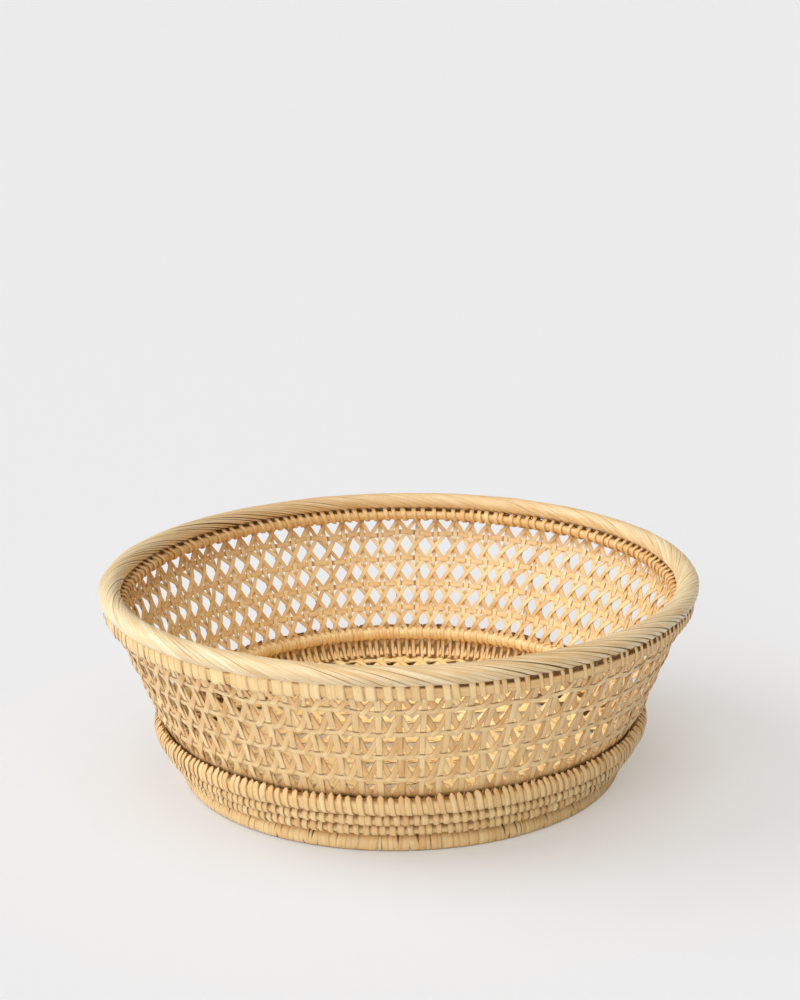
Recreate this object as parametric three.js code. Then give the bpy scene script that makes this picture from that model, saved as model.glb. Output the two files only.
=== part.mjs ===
// Round rattan fruit basket: a padded rim, an openwork cane wall, a stitched shoulder and a wrapped foot.
// Millimetres, +Z up. The origin is on the floor at the centre of the foot.
import * as THREE from "three";

// Overall sizes
const OUTER_DIAMETER = 350;
const TOTAL_HEIGHT = 120.7;
const SEAT_GAP = 0.3; // between pieces that bear on each other
const RING_SIDES = 36; // flats on every ring
const CANE_THICKNESS = 0.9; // of the flat strips in the wall and the base

// Rim: a bent pole under a cover of long flat strips, which part along a seam underneath
const RIM_WIDTH = 12.8;
const RIM_HEIGHT = 10.7;
const RIM_COVER_THICKNESS = 1.1;
const RIM_SEAM_ANGLE = 50;

// Binding under the rim: a round hoop inside the wall and a flat one outside it, each with its lashing
const INNER_HOOP_DIAMETER = 5.2;
const OUTER_HOOP_WIDTH = 5.2;
const OUTER_HOOP_THICKNESS = 1.3;
const RIM_LASHING_THICKNESS = 0.8;

// Openwork wall, given by the centre line of its uprights, which curve in a little between their ends
const WALL_TOP_INSET = 2.2; // from the middle of the rim in to the uprights
const WALL_TOP_DROP = 4; // from the rim's underside down to the uprights' turns
const WALL_BOTTOM_INSET = 3.4; // from the upper coil in to the uprights
const WALL_BOTTOM_DROP = 1.8; // from the shoulder's outer hoop down to the uprights' turns
const WALL_HOLLOW = 1.85; // how far the waist lies inside a straight line
const STAKE_COUNT = 84;
const STAKE_WIDTH = 3.6;
const STAKE_CANE_COUNT = 14; // canes that the uprights are bent from
const SLANT_WIDTH = 3.2;
const SLANT_CANE_COUNT = 6; // canes in each slanting direction
const SLANT_TOP_DROP = 1.6; // from the uprights' turns down to the slanting canes' turns
const WEAVER_COUNT = 4;
const WEAVER_WIDTH = 3.6;
const TOP_WEAVER_DROP = 11.8; // from the uprights' turns down to the highest weaver
const LOWEST_WEAVER_RISE = 16.65; // from the shoulder's outer hoop up to the lowest weaver

// Shoulder: two hoops with the wall between them, each with its lashing
const SHOULDER_RISE = 8.5; // from the upper coil up to the outer hoop
const SHOULDER_OUTER_WIDTH = 3.5;
const SHOULDER_INNER_LIFT = 2.2; // from the outer hoop up to the inner one
const SHOULDER_INNER_WIDTH = 5;
const SHOULDER_HOOP_DEPTH = 6; // top to bottom
const SHOULDER_LASHING_THICKNESS = 0.9;
const LASHING_MOUTH_ANGLE = 144; // left open towards the wall

// Band between shoulder and foot: two coils against a lining of strip ends
const COIL_DIAMETER = 5.4;
const COIL_STEP = 5.5; // outwards from the lower coil to the upper one
const COIL_RISE = 8; // and upwards
const LOWER_COIL_STEP = 6.8; // outwards from the foot's middle
const LOWER_COIL_RISE = 5.9; // and upwards from its top
const LINING_THICKNESS = 1.2;

// Foot: a hoop in a crosswise wrap, flat on the floor, whose ends are tucked in along the top
const FOOT_OUTER_DIAMETER = 262.6;
const FOOT_WIDTH = 9;
const FOOT_HEIGHT = 9.4;
const FOOT_FLAT_WIDTH = 4;
const FOOT_WRAP_THICKNESS = 1;
const FOOT_SEAM_ANGLE = 40;

// Base: a hoop inside the lining, and four layers of strips on it
const BASE_HOOP_DIAMETER = 6.8;
const BASE_STRIP_WIDTH = 3.6;
const BASE_STRIP_SPACING = 12;
const BASE_EDGE_CLEARANCE = 1.5; // from the strips' turns to the lining

const MITRE_LIMIT = 2.6; // longest corner of a bent strip, in half widths
const FULL_TURN = 2 * Math.PI;

// Places from the foot up, which each piece takes from the one that carries it
const footRadius = (FOOT_OUTER_DIAMETER - FOOT_WIDTH) / 2;
const lowerCoilRadius = footRadius + LOWER_COIL_STEP;
const lowerCoilHeight = FOOT_HEIGHT + LOWER_COIL_RISE;
const upperCoilRadius = lowerCoilRadius + COIL_STEP;
const upperCoilHeight = lowerCoilHeight + COIL_RISE;
const shoulderOuterHeight = upperCoilHeight + SHOULDER_RISE;
const shoulderInnerHeight = shoulderOuterHeight + SHOULDER_INNER_LIFT;
const wallBottomRadius = upperCoilRadius - WALL_BOTTOM_INSET;
const wallBottomHeight = shoulderOuterHeight - WALL_BOTTOM_DROP;

// Places from the rim down
const rimRadius = (OUTER_DIAMETER - RIM_WIDTH) / 2;
const wallTopRadius = rimRadius - WALL_TOP_INSET;
const wallTopHeight = TOTAL_HEIGHT - RIM_HEIGHT - WALL_TOP_DROP;
const slantTopHeight = wallTopHeight - SLANT_TOP_DROP;
const topWeaverHeight = wallTopHeight - TOP_WEAVER_DROP;

// Places between the two
const wallWaistRadius = (wallTopRadius + wallBottomRadius) / 2 - WALL_HOLLOW;
const wallWaistHeight = (wallTopHeight + wallBottomHeight) / 2;
const lowestWeaverHeight = shoulderOuterHeight + LOWEST_WEAVER_RISE;
const weaverSpacing = (topWeaverHeight - lowestWeaverHeight) / (WEAVER_COUNT - 1);

const finishes = {
  rim_cane: new THREE.MeshStandardMaterial({ color: 0xf3dfb6, roughness: 0.55, metalness: 0 }),
  wall_cane: new THREE.MeshStandardMaterial({ color: 0xe2c28c, roughness: 0.6, metalness: 0 }),
  slant_cane: new THREE.MeshStandardMaterial({ color: 0xdbb87e, roughness: 0.6, metalness: 0 }),
  lashing_cane: new THREE.MeshStandardMaterial({ color: 0xe6cb98, roughness: 0.6, metalness: 0 }),
  base_cane: new THREE.MeshStandardMaterial({ color: 0xd8b67c, roughness: 0.65, metalness: 0 }),
  core_rattan: new THREE.MeshStandardMaterial({ color: 0xcaa468, roughness: 0.75, metalness: 0 }),
};
const basket = new THREE.Group();

function addPiece(name, geometry, finish) {
  const piece = new THREE.Mesh(geometry, finishes[finish]);
  piece.name = name;
  basket.add(piece);
  return piece;
}

// A closed ring about +Z from an outline of points whose x is the radius and y the height.
function addRing(name, outline, finish) {
  const ordered = THREE.ShapeUtils.isClockWise(outline) ? outline.slice().reverse() : outline;
  const ring = addPiece(name, new THREE.LatheGeometry([...ordered, ordered[0]], RING_SIDES), finish);
  ring.rotation.x = Math.PI / 2;
}

// A ring's flats lie nearer the axis than its corners: the corner radius that keeps them outside a radius.
const outsideOf = (radius) => radius / Math.cos(Math.PI / RING_SIDES);
const at = (radius, height) => new THREE.Vector2(radius, height);

// Points round an oval { radius, height, halfWidth, halfHeight }, in degrees from its outward side.
function ovalArc(section, from, to, steps) {
  return Array.from({ length: steps + 1 }, (_, i) => {
    const angle = THREE.MathUtils.degToRad(from + ((to - from) * i) / steps);
    const across = section.halfWidth * Math.cos(angle);
    return at(section.radius + across, section.height + section.halfHeight * Math.sin(angle));
  });
}

// An oval larger or smaller than another by the same amount all round.
function grown(section, amount) {
  const { radius, height, halfWidth, halfHeight } = section;
  return { radius, height, halfWidth: halfWidth + amount, halfHeight: halfHeight + amount };
}

// A bare hoop's whole section, with six sides.
const hoopOutline = (section) => ovalArc(section, 0, 300, 5);

// The part of an oval that a cover with this mouth goes round: facing is the mouth's middle, in degrees.
function coveredArc(section, { facing, angle, steps }) {
  return ovalArc(section, facing + angle / 2, facing + 360 - angle / 2, steps);
}

// A shell inside an oval, left open at its mouth.
function shellOutline(section, thickness, mouth) {
  return [...coveredArc(section, mouth), ...coveredArc(grown(section, -thickness), mouth).reverse()];
}

// A hoop inside such a shell. Its flats are the shell's, and it comes to an edge in the mouth.
function coveredOutline(section, mouth) {
  return [...coveredArc(section, mouth), ...ovalArc(section, mouth.facing, mouth.facing, 1).slice(1)];
}

// A strip's section lying on a slope, given by the middle of the strip.
function slopedOutline(radius, height, width, thickness, slope) {
  const length = Math.hypot(1, slope);
  const along = at((slope * width) / 2 / length, width / 2 / length);
  const out = at(thickness / 2 / length, (-slope * thickness) / 2 / length);
  const middle = at(radius, height);
  return [
    middle.clone().add(along).add(out),
    middle.clone().add(along).sub(out),
    middle.clone().sub(along).sub(out),
    middle.clone().sub(along).add(out),
  ];
}

// A flat strip of cane along a path of { place, normal }, bent on its flat with mitred corners.
function stripGeometry(path, width) {
  const end = path.length - 1;
  const heading = (i) => {
    const step = path[i + 1].place.clone().sub(path[i].place);
    return step.normalize();
  };
  const corners = path.flatMap(({ place, normal }, i) => {
    const leaving = heading(Math.min(i, end - 1)).projectOnPlane(normal).normalize();
    const arriving = heading(Math.max(i - 1, 0)).projectOnPlane(normal).normalize();
    const along = arriving.add(leaving).normalize();
    const mitre = Math.min(1 / along.dot(leaving), MITRE_LIMIT);
    const side = new THREE.Vector3().crossVectors(normal, along).multiplyScalar((mitre * width) / 2);
    const rise = normal.clone().multiplyScalar(CANE_THICKNESS / 2);
    return [
      place.clone().add(side).add(rise),
      place.clone().sub(side).add(rise),
      place.clone().sub(side).sub(rise),
      place.clone().add(side).sub(rise),
    ];
  });
  const faces = [];
  for (let start = 0; start < 4 * end; start += 4) {
    for (let edge = 0; edge < 4; edge += 1) {
      const a = start + edge;
      const b = start + ((edge + 1) % 4);
      faces.push(a, b, b + 4, a, b + 4, a + 4);
    }
  }
  const last = 4 * end;
  faces.push(0, 2, 1, 0, 3, 2, last, last + 1, last + 2, last, last + 2, last + 3);
  const geometry = new THREE.BufferGeometry().setFromPoints(corners);
  geometry.setIndex(faces);
  geometry.computeVertexNormals();
  return geometry;
}

// Rim
const rim = {
  radius: rimRadius,
  height: TOTAL_HEIGHT - RIM_HEIGHT / 2,
  halfWidth: RIM_WIDTH / 2,
  halfHeight: RIM_HEIGHT / 2,
};
const rimSeam = { facing: -90, angle: RIM_SEAM_ANGLE, steps: 6 };
addRing("rim_core_hoop", coveredArc(grown(rim, -RIM_COVER_THICKNESS - SEAT_GAP), rimSeam), "core_rattan");
addRing("rim_cover", shellOutline(rim, RIM_COVER_THICKNESS, rimSeam), "rim_cane");
const outwardMouth = { facing: 0, angle: LASHING_MOUTH_ANGLE, steps: 4 };
const inwardMouth = { facing: 180, angle: LASHING_MOUTH_ANGLE, steps: 4 };

// Height of an oval's underside at a radius.
function underside(section, radius) {
  const share = (radius - section.radius) / section.halfWidth;
  return section.height - section.halfHeight * Math.sqrt(Math.max(1 - share * share, 0));
}

// Radius of the uprights' centre line at a height: two straight stretches that meet at the waist.
function wallRadius(height) {
  const upper = height > wallWaistHeight;
  const farHeight = upper ? wallTopHeight : wallBottomHeight;
  const farRadius = upper ? wallTopRadius : wallBottomRadius;
  const share = (height - wallWaistHeight) / (farHeight - wallWaistHeight);
  return wallWaistRadius + share * (farRadius - wallWaistRadius);
}

// Gain of radius per millimetre of height, taken across a height so that the waist gets the mean.
const wallSlope = (height) => (wallRadius(height + 1) - wallRadius(height - 1)) / 2;

// Layers of the wall from the inside out: uprights, two slanting layers, weaver hoops.
const steepness = Math.hypot(1, wallSlope(wallTopHeight)); // turns a thickness into a radius
const layerStep = (CANE_THICKNESS + SEAT_GAP) * steepness;
const halfCane = (CANE_THICKNESS / 2) * steepness;
const stakeSpacing = FULL_TURN / STAKE_COUNT;

// A slanting strip runs straight between its bends, so its bends stand out past its middles.
const slantReach = (wallWaistHeight - wallBottomHeight) / weaverSpacing;
const slantSpread = 1 / Math.cos((stakeSpacing * slantReach) / 2);
const wallInnerFace = (height) => wallRadius(height) - halfCane;
const wallOuterFace = (height) => (wallRadius(height) + 2 * layerStep) * slantSpread + halfCane;

// One cane of the wall, which runs up and down between its turns at the rim and at the shoulder.
// lean is 0 for uprights, and 1 or -1 for canes that slant one upright's spacing in a weaver's spacing.
function addWallCane(name, first, runs, lean, layer, width, top, finish) {
  const heights = [wallBottomHeight, wallWaistHeight, top];
  const spread = lean ? slantSpread : 1;
  const offset = lean ? 0.5 : 0; // slanting canes cross on a weaver midway between uprights
  const path = [];
  for (let run = 0; run < runs; run += 1) {
    const ordered = run % 2 ? heights.slice().reverse() : heights;
    ordered.forEach((height) => {
      const gained = (lean * (height - topWeaverHeight)) / weaverSpacing;
      const turn = stakeSpacing * (first + run + offset + gained);
      const radius = (wallRadius(height) + layer * layerStep) * spread;
      const place = new THREE.Vector3(radius * Math.sin(turn), -radius * Math.cos(turn), height);
      const normal = new THREE.Vector3(Math.sin(turn), -Math.cos(turn), -wallSlope(height)).normalize();
      path.push({ place, normal });
    });
  }
  addPiece(name, stripGeometry(path, width), finish);
}

// Shares the places round the wall among a number of canes, as evenly as they go.
function addWallCanes(name, canes, ...shape) {
  for (let cane = 0; cane < canes; cane += 1) {
    const first = Math.round((cane * STAKE_COUNT) / canes);
    const next = Math.round(((cane + 1) * STAKE_COUNT) / canes);
    addWallCane(name + String(cane + 1).padStart(2, "0"), first, next - first, ...shape);
  }
}
addWallCanes("wall_stake_", STAKE_CANE_COUNT, 0, 0, STAKE_WIDTH, wallTopHeight, "wall_cane");
addWallCanes("slant_left_", SLANT_CANE_COUNT, -1, 1, SLANT_WIDTH, slantTopHeight, "slant_cane");
addWallCanes("slant_right_", SLANT_CANE_COUNT, 1, 2, SLANT_WIDTH, slantTopHeight, "slant_cane");

for (let hoop = 0; hoop < WEAVER_COUNT; hoop += 1) {
  const height = topWeaverHeight - hoop * weaverSpacing;
  const radius = outsideOf(wallOuterFace(height) + layerStep - halfCane);
  const outline = slopedOutline(radius, height, WEAVER_WIDTH, CANE_THICKNESS, wallSlope(height));
  addRing("weaver_hoop_" + (hoop + 1), outline, "wall_cane");
}

// How far an oval reaches sideways towards a sloping wall.
const reachTo = (halfWidth, halfHeight, slope) => Math.hypot(halfWidth, slope * halfHeight);

// Inner hoop under the rim: it bears on the uprights, and its lashing on the rim's cover.
const innerHoopHalf = INNER_HOOP_DIAMETER / 2;
const innerLashingRoom = SEAT_GAP + RIM_LASHING_THICKNESS;
const innerHoopReach = reachTo(innerHoopHalf, innerHoopHalf, wallSlope(wallTopHeight));
const innerHoopRadius = wallInnerFace(wallTopHeight) - SEAT_GAP - innerHoopReach;
const innerHoop = {
  radius: innerHoopRadius,
  height: underside(grown(rim, innerHoopHalf + innerLashingRoom + 2 * SEAT_GAP), innerHoopRadius),
  halfWidth: innerHoopHalf,
  halfHeight: innerHoopHalf,
};
const innerLashing = grown(innerHoop, innerLashingRoom);
addRing("rim_inner_hoop", coveredOutline(innerHoop, outwardMouth), "core_rattan");
addRing("rim_inner_lashing", shellOutline(innerLashing, RIM_LASHING_THICKNESS, outwardMouth), "lashing_cane");

// Outer hoop under the rim: a flat strip on edge outside the wall's turns, in a channel of lashing.
const slantTurnsFace = wallOuterFace(slantTopHeight + SLANT_WIDTH / 2);
const stakeTurnsFace = wallRadius(wallTopHeight + STAKE_WIDTH / 2) + halfCane;
const outerHoopInside = outsideOf(Math.max(slantTurnsFace, stakeTurnsFace) + SEAT_GAP);
const outerHoopTop = underside(rim, outerHoopInside) - 2 * SEAT_GAP - RIM_LASHING_THICKNESS;
const outerHoopBottom = outerHoopTop - OUTER_HOOP_WIDTH;
const outerHoopOutside = outerHoopInside + OUTER_HOOP_THICKNESS;
addRing(
  "rim_outer_hoop",
  [
    at(outerHoopInside, outerHoopBottom),
    at(outerHoopOutside, outerHoopBottom),
    at(outerHoopOutside, outerHoopTop),
    at(outerHoopInside, outerHoopTop),
  ],
  "core_rattan",
);
const channelOutside = outerHoopOutside + SEAT_GAP + RIM_LASHING_THICKNESS;
addRing(
  "rim_outer_lashing",
  [
    at(outerHoopInside, outerHoopBottom - SEAT_GAP - RIM_LASHING_THICKNESS),
    at(channelOutside, outerHoopBottom - SEAT_GAP - RIM_LASHING_THICKNESS),
    at(channelOutside, outerHoopTop + SEAT_GAP + RIM_LASHING_THICKNESS),
    at(outerHoopInside, outerHoopTop + SEAT_GAP + RIM_LASHING_THICKNESS),
    at(outerHoopInside, outerHoopTop + SEAT_GAP),
    at(outerHoopOutside + SEAT_GAP, outerHoopTop + SEAT_GAP),
    at(outerHoopOutside + SEAT_GAP, outerHoopBottom - SEAT_GAP),
    at(outerHoopInside, outerHoopBottom - SEAT_GAP),
  ],
  "lashing_cane",
);

// Shoulder: its hoops bear on the wall from outside and from inside.
const shoulderSlope = wallSlope(shoulderOuterHeight);
const shoulderHalfDepth = SHOULDER_HOOP_DEPTH / 2;
const shoulderLashingRoom = SEAT_GAP + SHOULDER_LASHING_THICKNESS;
const shoulderOuterReach = SEAT_GAP + shoulderSlope * shoulderHalfDepth;
const shoulderOuter = {
  radius: outsideOf(wallOuterFace(shoulderOuterHeight) + shoulderOuterReach) + SHOULDER_OUTER_WIDTH / 2,
  height: shoulderOuterHeight,
  halfWidth: SHOULDER_OUTER_WIDTH / 2,
  halfHeight: shoulderHalfDepth,
};
const shoulderInnerHalf = SHOULDER_INNER_WIDTH / 2;
const shoulderInnerReach = reachTo(shoulderInnerHalf, shoulderHalfDepth, shoulderSlope);
const shoulderInner = {
  radius: wallInnerFace(shoulderInnerHeight) - SEAT_GAP - shoulderInnerReach,
  height: shoulderInnerHeight,
  halfWidth: shoulderInnerHalf,
  halfHeight: shoulderHalfDepth,
};
for (const [name, section, mouth] of [
  ["shoulder_outer", shoulderOuter, inwardMouth],
  ["shoulder_inner", shoulderInner, outwardMouth],
]) {
  const lashing = grown(section, shoulderLashingRoom);
  addRing(name + "_hoop", coveredOutline(section, mouth), "core_rattan");
  addRing(name + "_lashing", shellOutline(lashing, SHOULDER_LASHING_THICKNESS, mouth), "lashing_cane");
}

// Band. The lining runs parallel to the line through the two coils, just inside them.
const coilHalf = COIL_DIAMETER / 2;
for (const [name, radius, height] of [
  ["band_upper_coil", upperCoilRadius, upperCoilHeight],
  ["band_lower_coil", lowerCoilRadius, lowerCoilHeight],
]) {
  addRing(name, hoopOutline({ radius, height, halfWidth: coilHalf, halfHeight: coilHalf }), "lashing_cane");
}
const bandSlope = COIL_STEP / COIL_RISE;
const bandSteepness = Math.hypot(1, bandSlope);
// Radius of the band at a height, a distance inside the line through the coils' centres.
function bandRadius(height, inside) {
  return lowerCoilRadius + (height - lowerCoilHeight) * bandSlope - inside * bandSteepness;
}
const liningOutside = coilHalf + SEAT_GAP;
const liningInside = liningOutside + LINING_THICKNESS;
const liningTop = wallBottomHeight - STAKE_WIDTH / 2 - 2 * SEAT_GAP;
const liningBottom = FOOT_HEIGHT + SEAT_GAP;
addRing(
  "band_lining",
  [
    at(bandRadius(liningBottom, liningOutside), liningBottom),
    at(bandRadius(liningTop, liningOutside), liningTop),
    at(bandRadius(liningTop, liningInside), liningTop),
    at(bandRadius(liningBottom, liningInside), liningBottom),
  ],
  "base_cane",
);

// Foot: an oval cut flat at the floor. The oval's half height follows from the height and the flat's width.
const footHalf = FOOT_WIDTH / 2;
const footFlatAngle = Math.acos(FOOT_FLAT_WIDTH / FOOT_WIDTH);
const footHalfHeight = FOOT_HEIGHT / (1 + Math.sin(footFlatAngle));
const foot = {
  radius: footRadius,
  height: FOOT_HEIGHT - footHalfHeight,
  halfWidth: footHalf,
  halfHeight: footHalfHeight,
};
// Down the outward side from the seam to the flat, and up the inward side back to the seam.
function footArc(inset, seamAngle) {
  const section = grown(foot, -inset);
  const flat = THREE.MathUtils.radToDeg(Math.asin((foot.height - inset) / section.halfHeight));
  const top = 90 - seamAngle / 2;
  return [...ovalArc(section, top, -flat, 2), ...ovalArc(section, 180 + flat, 180 - top, 2)];
}
addRing("foot_core_hoop", footArc(FOOT_WRAP_THICKNESS + SEAT_GAP, FOOT_SEAM_ANGLE), "core_rattan");
addRing(
  "foot_wrap",
  [...footArc(0, FOOT_SEAM_ANGLE), ...footArc(FOOT_WRAP_THICKNESS, FOOT_SEAM_ANGLE).reverse()],
  "lashing_cane",
);

// Base hoop, above the foot and against the lining.
const baseHoopHalf = BASE_HOOP_DIAMETER / 2;
const baseHoopHeight = FOOT_HEIGHT + SEAT_GAP + baseHoopHalf;
const baseHoop = {
  radius: bandRadius(baseHoopHeight, liningInside + SEAT_GAP + baseHoopHalf),
  height: baseHoopHeight,
  halfWidth: baseHoopHalf,
  halfHeight: baseHoopHalf,
};
addRing("base_hoop", hoopOutline(baseHoop), "core_rattan");

// One cane of the base, which runs to and fro across it and turns at the edge.
const baseLayerStep = CANE_THICKNESS + SEAT_GAP;
const baseBottom = baseHoopHeight + baseHoopHalf + SEAT_GAP;
const baseRadius =
  bandRadius(baseBottom, liningInside) * Math.cos(Math.PI / RING_SIDES) - BASE_EDGE_CLEARANCE;
function addBaseCane(name, layer, degrees, spacing) {
  const height = baseBottom + CANE_THICKNESS / 2 + layer * baseLayerStep;
  const halfWidth = BASE_STRIP_WIDTH / 2;
  const runs = 2 * Math.floor((baseRadius - 2 * BASE_STRIP_WIDTH) / spacing);
  const turned = new THREE.Vector3(0, 0, 1);
  const path = [];
  for (let run = 0; run < runs; run += 1) {
    const across = (run - (runs - 1) / 2) * spacing;
    const reach = Math.sqrt(baseRadius ** 2 - (Math.abs(across) + halfWidth) ** 2) - halfWidth;
    for (const end of run % 2 ? [reach, -reach] : [-reach, reach]) {
      const place = new THREE.Vector3(across, end, height);
      path.push({ place: place.applyAxisAngle(turned, THREE.MathUtils.degToRad(degrees)), normal: turned });
    }
  }
  addPiece(name, stripGeometry(path, BASE_STRIP_WIDTH), "base_cane");
}
addBaseCane("base_lengthwise_cane", 0, 0, BASE_STRIP_SPACING);
addBaseCane("base_crosswise_cane", 1, 90, BASE_STRIP_SPACING);
addBaseCane("base_slant_cane_left", 2, 45, BASE_STRIP_SPACING * Math.SQRT1_2);
addBaseCane("base_slant_cane_right", 3, -45, BASE_STRIP_SPACING * Math.SQRT1_2);

export default basket;
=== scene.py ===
"""Round openwork cane basket: padded rim, interlaced wall, stitched shoulder and band, wrapped foot.

Shapes are worked out in millimetres. A turn is an angle round the basket from its front, towards its
right.
"""
import math

import bpy
import numpy as np
from mathutils import Matrix


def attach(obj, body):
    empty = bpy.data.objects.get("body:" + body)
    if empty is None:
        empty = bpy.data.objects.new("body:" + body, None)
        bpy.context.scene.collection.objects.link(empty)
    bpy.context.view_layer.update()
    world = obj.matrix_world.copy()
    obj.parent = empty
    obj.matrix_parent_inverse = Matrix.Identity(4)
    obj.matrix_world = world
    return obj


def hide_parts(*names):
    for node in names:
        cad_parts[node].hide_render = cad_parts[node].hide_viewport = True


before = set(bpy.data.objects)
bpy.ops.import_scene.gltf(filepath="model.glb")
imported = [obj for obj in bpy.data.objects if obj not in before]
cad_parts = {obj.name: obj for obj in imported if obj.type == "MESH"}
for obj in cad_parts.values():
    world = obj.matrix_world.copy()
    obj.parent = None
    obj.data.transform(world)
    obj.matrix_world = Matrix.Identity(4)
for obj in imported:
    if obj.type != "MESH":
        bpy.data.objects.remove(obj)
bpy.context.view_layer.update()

MM = 0.001
FULL_TURN = 2 * np.pi
BODY = "root"
CREASE = math.radians(42)
HOOP_STATIONS = 300
WAVES = 7
chance = np.random.default_rng(2024)


# Finishes

BUMP_STRENGTH = 0.35
BUMP_DISTANCE = 0.00015
MOTTLE_HEIGHT = 0.6
FLECK_DEPTH = 0.35
PAINTED_SHADE_DEPTH = 1.3
FIBRE_ROUGHNESS = 0.3
HOLLOW_ROUGHNESS = 0.3
WAX_ROUGHNESS = 0.35


def linear(red, green, blue):
    """A screen colour of 0 to 255 a channel as the light that a shader takes."""
    screen = np.array([red, green, blue]) / 255
    light = np.where(screen > 0.04045, ((screen + 0.055) / 1.055) ** 2.4, screen / 12.92)
    return (*light, 1.0)


def cane_surface_group():
    """The look of split cane: fibres, mottling, a tint for each strip, and painted shade at edges and in
    recesses.

    The cane attribute holds the length along a strip in mm, the place across it from -1 to 1, and the
    strip's own number. The tone attribute holds the strip's tint and how deep the painted shade is at a
    point.
    """
    group = bpy.data.node_groups.new("cane_surface", "ShaderNodeTree")
    for name, kind in (
        ("Pale", "NodeSocketColor"),
        ("Deep", "NodeSocketColor"),
        ("Painted shade and flecks", "NodeSocketColor"),
        ("Fibre", "NodeSocketFloat"),
        ("Mottle", "NodeSocketFloat"),
        ("Tint", "NodeSocketFloat"),
        ("Edge", "NodeSocketFloat"),
        ("Roughness", "NodeSocketFloat"),
    ):
        group.interface.new_socket(name=name, in_out="INPUT", socket_type=kind)
    for name, kind in (
        ("Colour", "NodeSocketColor"),
        ("Roughness", "NodeSocketFloat"),
        ("Height", "NodeSocketFloat"),
    ):
        group.interface.new_socket(name=name, in_out="OUTPUT", socket_type=kind)
    nodes, links = group.nodes, group.links
    given = nodes.new("NodeGroupInput")
    result = nodes.new("NodeGroupOutput")

    def math_node(operation, *values):
        """The result of one operation on numbers or linked sockets."""
        node = nodes.new("ShaderNodeMath")
        node.operation = operation
        for socket, value in zip(node.inputs, values):
            if isinstance(value, (int, float)):
                socket.default_value = value
            else:
                links.new(value, socket)
        return node.outputs[0]

    def attribute(name):
        """The three numbers that a mesh carries under a name."""
        node = nodes.new("ShaderNodeAttribute")
        node.attribute_name = name
        split = nodes.new("ShaderNodeSeparateXYZ")
        links.new(node.outputs["Vector"], split.inputs[0])
        return split.outputs

    def streaks(along_scale, across_scale, number_scale, detail):
        """Noise drawn out along the strip, different on each strip."""
        joined = nodes.new("ShaderNodeCombineXYZ")
        links.new(math_node("MULTIPLY", along, along_scale), joined.inputs[0])
        links.new(math_node("MULTIPLY", across, across_scale), joined.inputs[1])
        links.new(math_node("MULTIPLY", number, number_scale), joined.inputs[2])
        noise = nodes.new("ShaderNodeTexNoise")
        noise.inputs["Scale"].default_value = 1.0
        noise.inputs["Detail"].default_value = detail
        links.new(joined.outputs[0], noise.inputs["Vector"])
        return noise.outputs["Fac"]

    def blend(factor, first, second):
        """The first colour at factor 0 and the second at 1."""
        node = nodes.new("ShaderNodeMix")
        node.data_type = "RGBA"
        links.new(factor, node.inputs["Factor"])
        for socket, value in ((node.inputs["A"], first), (node.inputs["B"], second)):
            links.new(value, socket)
        return node.outputs["Result"]

    def ramp(value, start, end):
        """0 below start and 1 above end."""
        node = nodes.new("ShaderNodeMapRange")
        node.inputs["From Min"].default_value = start
        node.inputs["From Max"].default_value = end
        links.new(value, node.inputs["Value"])
        return node.outputs["Result"]

    along, across, number = attribute("cane")
    tint, painted_shade = attribute("tone")[:2]
    fibre = streaks(along_scale=0.035, across_scale=4.2, number_scale=61.0, detail=3.0)
    mottle = streaks(along_scale=0.06, across_scale=0.5, number_scale=37.0, detail=2.0)
    fleck = streaks(along_scale=0.55, across_scale=3.0, number_scale=83.0, detail=1.0)

    fibre_part = math_node("MULTIPLY", math_node("SUBTRACT", fibre, 0.5), given.outputs["Fibre"])
    mottle_part = math_node("MULTIPLY", math_node("SUBTRACT", mottle, 0.5), given.outputs["Mottle"])
    tint_part = math_node("MULTIPLY", tint, given.outputs["Tint"])
    depth = math_node("ADD", math_node("ADD", fibre_part, mottle_part), tint_part)
    clamped = math_node("MINIMUM", math_node("MAXIMUM", depth, 0.0), 1.0)
    body_colour = blend(clamped, given.outputs["Pale"], given.outputs["Deep"])

    # Painted shade along both edges of every strip, where strips meet.
    rim_of_strip = ramp(math_node("ABSOLUTE", across), start=0.7, end=1.0)
    edge = math_node("MULTIPLY", rim_of_strip, given.outputs["Edge"])
    # Flecks are the cane's own dark marks, in the same colour as the painted shade.
    spots = math_node("MULTIPLY", ramp(fleck, start=0.68, end=0.8), FLECK_DEPTH)
    # Painted shade in recesses, as deep as the tone attribute says.
    sunk = math_node("MULTIPLY", painted_shade, PAINTED_SHADE_DEPTH)
    darkest = math_node("MAXIMUM", sunk, math_node("MAXIMUM", edge, spots))
    links.new(blend(darkest, body_colour, given.outputs["Painted shade and flecks"]), result.inputs["Colour"])

    uneven = math_node("MULTIPLY", math_node("SUBTRACT", fibre, 0.5), FIBRE_ROUGHNESS)
    dull = math_node("MULTIPLY", darkest, HOLLOW_ROUGHNESS)
    rough = math_node("ADD", math_node("ADD", given.outputs["Roughness"], uneven), dull)
    links.new(rough, result.inputs["Roughness"])
    height = math_node("ADD", fibre, math_node("MULTIPLY", mottle, MOTTLE_HEIGHT))
    links.new(height, result.inputs["Height"])
    return group


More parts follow.
